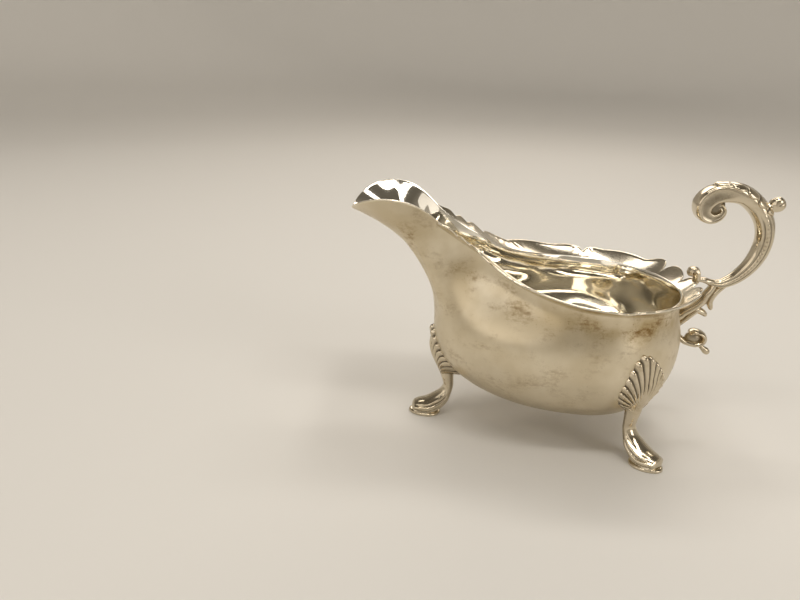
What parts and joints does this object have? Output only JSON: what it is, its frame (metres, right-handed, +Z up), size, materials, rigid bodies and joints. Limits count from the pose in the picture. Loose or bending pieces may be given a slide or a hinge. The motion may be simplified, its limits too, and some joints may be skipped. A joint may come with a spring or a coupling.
{
  "type": "sauce boat",
  "caption": "Silver sauce boat with a broad sweeping spout, shaped turned-out rim, flying scroll handle, and shell-and-hoof feet",
  "frame": {"origin": "middle of the overall length and width, on the plane that the three soles stand on", "axes": "+Z up, the spout points to -X, the handle to +X, the boat is symmetric about the plane Y = 0"},
  "size_m": [0.1878, 0.108, 0.1176],
  "materials": {
    "bowl": "polished silver with faint brown tarnish",
    "rim_flange": "polished silver",
    "handle_scroll": "polished cast silver",
    "handle_leaf": "chased cast silver, darkened in the grooves",
    "handle_bud": "polished cast silver",
    "handle_root_curl": "polished cast silver",
    "handle_strut": "polished cast silver",
    "lower_scroll": "polished cast silver",
    "leg_front": "polished cast silver",
    "shell_front": "fluted cast silver, darkened in the flutes",
    "leg_rear_left": "polished cast silver",
    "shell_rear_left": "fluted cast silver, darkened in the flutes",
    "leg_rear_right": "polished cast silver",
    "shell_rear_right": "fluted cast silver, darkened in the flutes"
  },
  "bodies": {
    "root": {"bowl": "bowl", "rim_flange": "rim_flange", "handle_scroll": "handle_scroll", "handle_leaf": "handle_leaf", "handle_bud": "handle_bud", "handle_root_curl": "handle_root_curl", "handle_strut": "handle_strut", "lower_scroll": "lower_scroll", "leg_front": "leg_front", "shell_front": "shell_front", "leg_rear_left": "leg_rear_left", "shell_rear_left": "shell_rear_left", "leg_rear_right": "leg_rear_right", "shell_rear_right": "shell_rear_right"}
  },
  "joints": []
}
